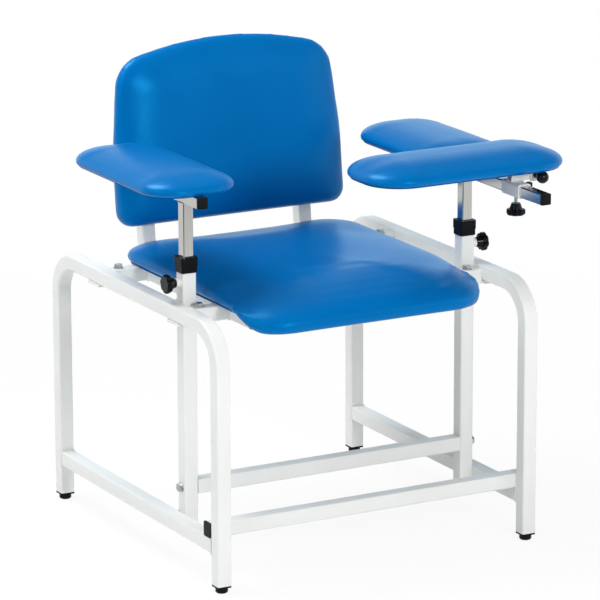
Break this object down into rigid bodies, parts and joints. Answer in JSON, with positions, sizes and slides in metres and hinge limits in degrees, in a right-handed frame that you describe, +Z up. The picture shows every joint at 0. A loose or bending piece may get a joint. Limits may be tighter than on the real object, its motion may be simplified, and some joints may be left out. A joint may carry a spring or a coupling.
{
  "type": "phlebotomy chair",
  "caption": "Blood-draw chair: square tube frame, padded seat and back, arm pads on clamped sliding posts, one pad that slides along its bar and flips up.",
  "frame": {"origin": "on the floor, midway between the four legs", "axes": "+Z up, -Y the way the sitter faces, +X to the sitter's left"},
  "size_m": [0.708, 0.701, 0.8103],
  "materials": {
    "white_powder_coat": "smooth semi-gloss powder coat",
    "chromed_tube": "bright chrome on steel tube",
    "blue_vinyl": "soft-grained vinyl upholstery, satin",
    "black_plastic": "moulded, fine matte",
    "black_rubber": "dull",
    "zinc_plated_steel": "zinc plated",
    "painted_plywood": "plywood painted matte black"
  },
  "bodies": {
    "frame": {"side_frame_left": "white_powder_coat", "side_frame_right": "white_powder_coat", "lower_rails": "white_powder_coat", "post_sleeve_left": "white_powder_coat", "post_sleeve_right": "white_powder_coat", "front_stretcher": "white_powder_coat", "middle_stretcher": "white_powder_coat", "stretcher_plugs": "zinc_plated_steel", "stretcher_bolts": "zinc_plated_steel", "seat_brackets": "white_powder_coat", "front_cross_tube": "white_powder_coat", "rear_cross_tube": "white_powder_coat", "seat_frame_bolts": "zinc_plated_steel", "seat_frame_nuts": "zinc_plated_steel", "seat_side_tube_left": "white_powder_coat", "seat_side_tube_right": "white_powder_coat", "seat_stubs": "white_powder_coat", "back_upright_left": "white_powder_coat", "back_upright_right": "white_powder_coat", "tube_caps": "black_plastic", "foot_inserts": "black_plastic", "foot_glides": "black_plastic", "collar_left": "black_plastic", "collar_right": "black_plastic", "knob_bosses": "white_powder_coat", "seat_board": "painted_plywood", "seat_cushion": "blue_vinyl", "seat_screws": "zinc_plated_steel", "back_board": "painted_plywood", "back_cushion": "blue_vinyl", "back_screws": "zinc_plated_steel"},
    "left_arm": {"arm_post_left": "chromed_tube", "arm_bar_left": "chromed_tube", "bar_caps_left": "black_plastic", "arm_board_left": "painted_plywood", "arm_cushion_left": "blue_vinyl", "arm_screws_left": "zinc_plated_steel"},
    "right_arm": {"arm_post_right": "chromed_tube", "arm_bar_right": "chromed_tube", "bar_caps_right": "black_plastic", "arm_board_right": "painted_plywood", "arm_cushion_right": "blue_vinyl", "arm_screws_right": "zinc_plated_steel"},
    "left_knob": {"star_knob_left": "black_plastic", "knob_stud_left": "zinc_plated_steel"},
    "right_knob": {"star_knob_right": "black_plastic", "knob_stud_right": "zinc_plated_steel"},
    "carrier_body": {"carrier": "white_powder_coat", "hinge_tube": "white_powder_coat", "hinge_bolt": "zinc_plated_steel", "bumpers": "black_rubber"},
    "carrier_clamp": {"carrier_knob": "black_plastic", "carrier_stud": "zinc_plated_steel"},
    "flip_pad": {"flip_ears": "white_powder_coat", "flip_board": "painted_plywood", "flip_cushion": "blue_vinyl", "flip_screws": "zinc_plated_steel"},
    "hinge_knob": {"ball_knob": "black_plastic"}
  },
  "joints": [
    {"name": "left_arm_height", "type": "slide", "parent": "frame", "child": "left_arm", "axis": [0, 0, 1], "range_m": [-0.085, 0.1]},
    {"name": "right_arm_height", "type": "slide", "parent": "frame", "child": "right_arm", "axis": [0, 0, 1], "range_m": [-0.07, 0.1]},
    {"name": "left_post_clamp", "type": "hinge", "parent": "frame", "child": "left_knob", "pos_m": [-0.2979, -0.1305, 0.486], "axis": [-1, 0, 0], "range_deg": [0, 720]},
    {"name": "right_post_clamp", "type": "hinge", "parent": "frame", "child": "right_knob", "pos_m": [0.2979, -0.1305, 0.486], "axis": [1, 0, 0], "range_deg": [0, 720]},
    {"name": "carrier_slide", "type": "slide", "parent": "right_arm", "child": "carrier_body", "axis": [0, -1, 0], "range_m": [-0.004, 0.055]},
    {"name": "carrier_clamp_turn", "type": "hinge", "parent": "carrier_body", "child": "carrier_clamp", "pos_m": [0.2669, -0.2965, 0.5819], "axis": [0, 0, -1], "range_deg": [0, 720]},
    {"name": "flip_hinge", "type": "hinge", "parent": "carrier_body", "child": "flip_pad", "pos_m": [0.3025, -0.2905, 0.63665], "axis": [0, 1, 0], "range_deg": [0, 95]},
    {"name": "hinge_knob_turn", "type": "hinge", "parent": "carrier_body", "child": "hinge_knob", "pos_m": [0.3025, -0.322, 0.63665], "axis": [0, -1, 0], "range_deg": [0, 360]}
  ]
}
